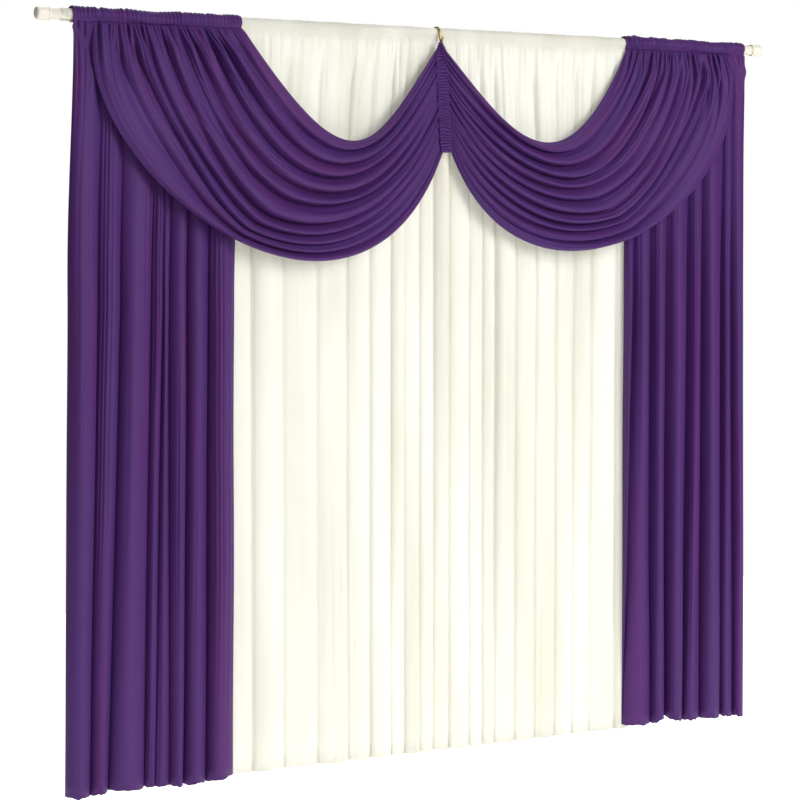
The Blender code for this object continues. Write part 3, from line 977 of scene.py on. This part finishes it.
def build_loop(settings):
    """The narrow cloth loop that hangs the strip on the hook's curl."""
    low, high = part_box("hanging_loop")
    centre = (low + high) / 2
    outer = (high.z - low.z) / 2
    half = (high.y - low.y) / 2
    bm = bmesh.new()
    corners = ((LOOP_BORE_RADIUS, -half), (LOOP_BORE_RADIUS, half), (outer, half), (outer, -half))
    points = [bm.verts.new((radius, side, 0.0)) for radius, side in corners]
    turn_section(bm, points, (0.0, 1.0, 0.0), LOOP_SEGMENTS, closed=True)
    threads = bm.loops.layers.uv.new("threads")
    for face in bm.faces:
        for corner in face.loops:
            spot = corner.vert.co
            corner[threads].uv = (spot.y, math.atan2(spot.z, spot.x) * outer)
    bmesh.ops.translate(bm, verts=bm.verts, vec=centre)
    loop = add_piece("loop_cloth", bm, knit_material(settings))
    loop.data.set_sharp_from_angle(angle=math.radians(50))
    finish_piece(loop, "purple_knit", "hanging_loop")


def build_stage(stage):
    """A pale floor, a white surround, soft lights and the camera."""
    scene = bpy.context.scene
    bm = bmesh.new()
    bmesh.ops.create_grid(bm, x_segments=1, y_segments=1, size=stage.floor_size / 2)
    bmesh.ops.translate(bm, verts=bm.verts, vec=(0.0, 0.0, stage.floor_level))
    floor = add_piece("studio_floor", bm, floor_material(stage.floor_colour))

    world = bpy.data.worlds.new("studio_surround")
    world.use_nodes = True
    surround = world.node_tree.nodes["Background"]
    rays = add_node(world.node_tree, "ShaderNodeLightPath")
    strength = add_node(
        world.node_tree,
        "ShaderNodeMapRange",
        values={"To Min": stage.surround, "To Max": 1.0},
        links={"Value": rays.outputs["Is Camera Ray"]},
    )
    world.node_tree.links.new(strength.outputs["Result"], surround.inputs["Strength"])
    surround.inputs["Color"].default_value = (1.0, 1.0, 1.0, 1.0)
    scene.world = world
    scene.view_settings.view_transform = "Standard"

    overhead = bpy.data.lights.new("overhead", "SUN")
    overhead.energy = stage.overhead
    overhead.angle = math.radians(30)
    add_object("overhead", overhead).rotation_euler = (math.radians(6), 0.0, 0.0)

    for name, (spot, size), power in (
        ("softbox_key", KEY_LIGHT, stage.key_power),
        ("softbox_fill", FILL_LIGHT, stage.fill_power),
        ("softbox_back", BACK_LIGHT, stage.back_power),
    ):
        light = bpy.data.lights.new(name, "AREA")
        light.shape = "SQUARE"
        light.size = size
        light.energy = power
        lamp = add_object(name, light)
        lamp.location = spot
        lamp.rotation_euler = (LIGHT_AIM - spot).to_track_quat("-Z", "Y").to_euler()

    camera = bpy.data.cameras.new("studio_camera")
    camera.lens = stage.lens
    camera.clip_end = 100.0
    view = add_object("studio_camera", camera)
    view.location = stage.camera_place
    view.rotation_euler = (math.pi / 2 - stage.camera_pitch, 0.0, -stage.camera_yaw)
    bpy.context.scene.camera = view


class CurtainCloth(bpy.types.PropertyGroup):
    """Sizes and colours of the cloth, the rod and the fittings."""

    knit_thickness: FloatProperty(
        name="Knit thickness",
        description="Thickness of the purple knit",
        default=0.001,
        min=0.0003,
        max=0.003,
        unit="LENGTH",
    )
    voile_thickness: FloatProperty(
        name="Voile thickness",
        description="Thickness of the voile",
        default=0.0006,
        min=0.0002,
        max=0.002,
        unit="LENGTH",
    )
    voile_flat_width: FloatProperty(
        name="Voile width", description="Width of the voile laid flat", default=2.5, unit="LENGTH"
    )
    voile_flat_length: FloatProperty(
        name="Voile length", description="Length of the voile laid flat", default=1.9, unit="LENGTH"
    )
    panel_flat_width: FloatProperty(
        name="Panel width", description="Width of a side panel laid flat", default=0.65, unit="LENGTH"
    )
    panel_flat_length: FloatProperty(
        name="Panel length", description="Length of a side panel laid flat", default=1.9, unit="LENGTH"
    )
    swag_flat_width: FloatProperty(
        name="Swag width", description="Width of a swag laid flat", default=1.15, unit="LENGTH"
    )
    swag_flat_length: FloatProperty(
        name="Swag length", description="Length of a swag laid flat", default=0.62, unit="LENGTH"
    )
    swag_flat_area: FloatProperty(
        name="Swag area",
        description="Area of a swag's fan-shaped cut laid flat",
        default=0.50,
        unit="AREA",
    )
    strip_flat_length: FloatProperty(
        name="Strip length",
        description="Length of the ruched strip laid flat",
        default=0.45,
        unit="LENGTH",
    )
    ruche_spacing: FloatProperty(
        name="Ruche spacing",
        description="Distance from one crinkle of the strip to the next",
        default=0.0075,
        unit="LENGTH",
    )
    ruche_height: FloatProperty(
        name="Ruche height", description="How far a crinkle stands out", default=0.0048, unit="LENGTH"
    )
    knit_rib: FloatProperty(
        name="Knit rib",
        description="Spacing of the knit's ribs, drawn coarser than the real half millimetre to show",
        default=0.0016,
        unit="LENGTH",
    )
    voile_thread: FloatProperty(
        name="Voile thread",
        description="Spacing of the voile's threads, drawn coarser than the real ones to show",
        default=0.0013,
        unit="LENGTH",
    )
    voile_sheerness: FloatProperty(
        name="Sheerness",
        description="Share of the voile that is open between its threads",
        default=0.15,
        min=0.0,
        max=0.6,
        subtype="FACTOR",
    )
    voile_glow: FloatProperty(
        name="Glow",
        description="Share of the light on the voile that shines through its threads",
        default=0.38,
        min=0.0,
        max=1.0,
        subtype="FACTOR",
    )
    knit_colour: FloatVectorProperty(
        name="Purple", description="Main colour of the knit", default=srgb("#441F5F"), subtype="COLOR"
    )
    knit_red_tint: FloatVectorProperty(
        name="Red purple", description="Warm streaks of the dye", default=srgb("#4B1F5E"), subtype="COLOR"
    )
    knit_blue_tint: FloatVectorProperty(
        name="Blue purple", description="Cool streaks of the dye", default=srgb("#402160"), subtype="COLOR"
    )
    voile_colour: FloatVectorProperty(
        name="Cream", description="Main colour of the voile", default=srgb("#F5F4ED"), subtype="COLOR"
    )
    voile_shade: FloatVectorProperty(
        name="Cream shade",
        description="Darker clouds in the voile",
        default=srgb("#EAE8DD"),
        subtype="COLOR",
    )
    enamel_colour: FloatVectorProperty(
        name="Enamel", description="Colour of the rod", default=srgb("#DEDACB"), subtype="COLOR"
    )
    cap_colour: FloatVectorProperty(
        name="Caps", description="Colour of the end caps", default=srgb("#E0DBCD"), subtype="COLOR"
    )
    brass_colour: FloatVectorProperty(
        name="Brass", description="Colour of the hook", default=srgb("#B79C66"), subtype="COLOR"
    )


class CurtainStage(bpy.types.PropertyGroup):
    """The floor, the lights and the camera."""

    floor_level: FloatProperty(
        name="Floor level",
        description="Height of the floor from the rod's axis",
        default=-1.84,
        unit="LENGTH",
    )
    floor_size: FloatProperty(
        name="Floor size", description="Length of the floor's side", default=6.0, unit="LENGTH"
    )
    floor_colour: FloatVectorProperty(
        name="Floor colour", description="Colour of the floor", default=srgb("#FAFAF8"), subtype="COLOR"
    )
    surround: FloatProperty(
        name="Surround", description="Light that comes from all round", default=0.12, min=0.0
    )
    overhead: FloatProperty(
        name="Overhead", description="Strength of the soft light from above", default=0.9, min=0.0
    )
    key_power: FloatProperty(
        name="Key light", description="Power of the main soft light", default=250.0, unit="POWER"
    )
    fill_power: FloatProperty(
        name="Fill light", description="Power of the second soft light", default=42.0, unit="POWER"
    )
    back_power: FloatProperty(
        name="Back light",
        description="Power of the soft light behind the voile, which glows through it",
        default=80.0,
        unit="POWER",
    )
    lens: FloatProperty(
        name="Lens", description="Focal length on a 36 mm wide sensor", default=108.23, unit="CAMERA"
    )
    camera_place: FloatVectorProperty(
        name="Camera place",
        description="Where the camera stands",
        default=(-3.0190, -5.1259, -0.5428),
        subtype="TRANSLATION",
    )
    camera_yaw: FloatProperty(
        name="Camera yaw",
        description="How far the camera turns to its right from looking straight at the curtain",
        default=math.radians(29.813),
        subtype="ANGLE",
    )
    camera_pitch: FloatProperty(
        name="Camera pitch",
        description="How far the camera looks down",
        default=math.radians(3.453),
        subtype="ANGLE",
    )


class CURTAIN_OT_rod_and_caps(bpy.types.Operator):
    """Makes the rod and its two end caps"""

    bl_idname = "curtain.rod_and_caps"
    bl_label = "Rod and caps"

    def execute(self, context):
        settings = context.scene.curtain_cloth
        build_rod(settings)
        plastic = enamel_material("moulded_white_plastic", settings.cap_colour, 0.38)
        build_cap("cap_left_moulded", "cap_left", -1.0, plastic)
        build_cap("cap_right_moulded", "cap_right", 1.0, plastic)
        return {"FINISHED"}


class CURTAIN_OT_hook(bpy.types.Operator):
    """Makes the brass hook"""

    bl_idname = "curtain.hook"
    bl_label = "Hook"

    def execute(self, context):
        build_hook(context.scene.curtain_cloth)
        return {"FINISHED"}


class CURTAIN_OT_voile(bpy.types.Operator):
    """Makes the sheer voile"""

    bl_idname = "curtain.voile"
    bl_label = "Voile"

    def execute(self, context):
        build_voile(context.scene.curtain_cloth)
        return {"FINISHED"}


class CURTAIN_OT_side_panels(bpy.types.Operator):
    """Makes the two purple side panels"""

    bl_idname = "curtain.side_panels"
    bl_label = "Side panels"

    def execute(self, context):
        settings = context.scene.curtain_cloth
        build_panel(
            "panel_left_cloth",
            "panel_left",
            settings,
            folds=LEFT_PANEL_FOLDS,
            lean=LEFT_PANEL_LEAN,
            roundness=LEFT_PANEL_ROUNDNESS,
            slack_place=LEFT_SLACK_PLACE,
            creases=LEFT_PANEL_CREASES,
            frills=LEFT_PANEL_FRILLS,
        )
        build_panel(
            "panel_right_cloth",
            "panel_right",
            settings,
            folds=RIGHT_PANEL_FOLDS,
            lean=RIGHT_PANEL_LEAN,
            roundness=RIGHT_PANEL_ROUNDNESS,
            slack_place=RIGHT_SLACK_PLACE,
            creases=RIGHT_PANEL_CREASES,
            frills=RIGHT_PANEL_FRILLS,
        )
        return {"FINISHED"}


class CURTAIN_OT_swags(bpy.types.Operator):
    """Makes the two swags"""

    bl_idname = "curtain.swags"
    bl_label = "Swags"

    def execute(self, context):
        settings = context.scene.curtain_cloth
        build_swag(
            "swag_left_cloth",
            "swag_left",
            settings,
            top_edge=LEFT_SWAG_TOP,
            bottom_edge=LEFT_SWAG_BOTTOM,
            folds=LEFT_SWAG_FOLDS,
            lean=LEFT_SWAG_LEAN,
        )
        build_swag(
            "swag_right_cloth",
            "swag_right",
            settings,
            top_edge=RIGHT_SWAG_TOP,
            bottom_edge=RIGHT_SWAG_BOTTOM,
            folds=RIGHT_SWAG_FOLDS,
            lean=RIGHT_SWAG_LEAN,
        )
        return {"FINISHED"}


class CURTAIN_OT_strip_and_loop(bpy.types.Operator):
    """Makes the ruched centre strip and the loop that hangs it on the hook"""

    bl_idname = "curtain.strip_and_loop"
    bl_label = "Centre strip and loop"

    def execute(self, context):
        settings = context.scene.curtain_cloth
        build_loop(settings)
        build_strip(settings)
        return {"FINISHED"}


class CURTAIN_OT_stage(bpy.types.Operator):
    """Makes the floor, the lights and the camera"""

    bl_idname = "curtain.stage"
    bl_label = "Studio"

    def execute(self, context):
        build_stage(context.scene.curtain_stage)
        return {"FINISHED"}


class CURTAIN_PT_sidebar(bpy.types.Panel):
    """Lists the curtain's pieces and its settings"""

    bl_label = "Curtain"
    bl_idname = "CURTAIN_PT_sidebar"
    bl_space_type = "VIEW_3D"
    bl_region_type = "UI"
    bl_category = "Curtain"

    def draw(self, context):
        for operator in OPERATORS:
            self.layout.operator(operator.bl_idname)
        for settings in (context.scene.curtain_cloth, context.scene.curtain_stage):
            for name in settings.__annotations__:
                self.layout.prop(settings, name)


OPERATORS = (
    CURTAIN_OT_stage,
    CURTAIN_OT_rod_and_caps,
    CURTAIN_OT_hook,
    CURTAIN_OT_voile,
    CURTAIN_OT_side_panels,
    CURTAIN_OT_swags,
    CURTAIN_OT_strip_and_loop,
)
CLASSES = (CurtainCloth, CurtainStage, *OPERATORS, CURTAIN_PT_sidebar)


def register():
    for kind in CLASSES:
        bpy.utils.register_class(kind)
    bpy.types.Scene.curtain_cloth = PointerProperty(type=CurtainCloth)
    bpy.types.Scene.curtain_stage = PointerProperty(type=CurtainStage)


def unregister():
    del bpy.types.Scene.curtain_stage
    del bpy.types.Scene.curtain_cloth
    for kind in reversed(CLASSES):
        bpy.utils.unregister_class(kind)


def main():
    register()
    bpy.ops.curtain.stage()
    bpy.ops.curtain.rod_and_caps()
    bpy.ops.curtain.hook()
    bpy.ops.curtain.voile()
    bpy.ops.curtain.side_panels()
    bpy.ops.curtain.swags()
    bpy.ops.curtain.strip_and_loop()


if __name__ == "__main__":
    main()
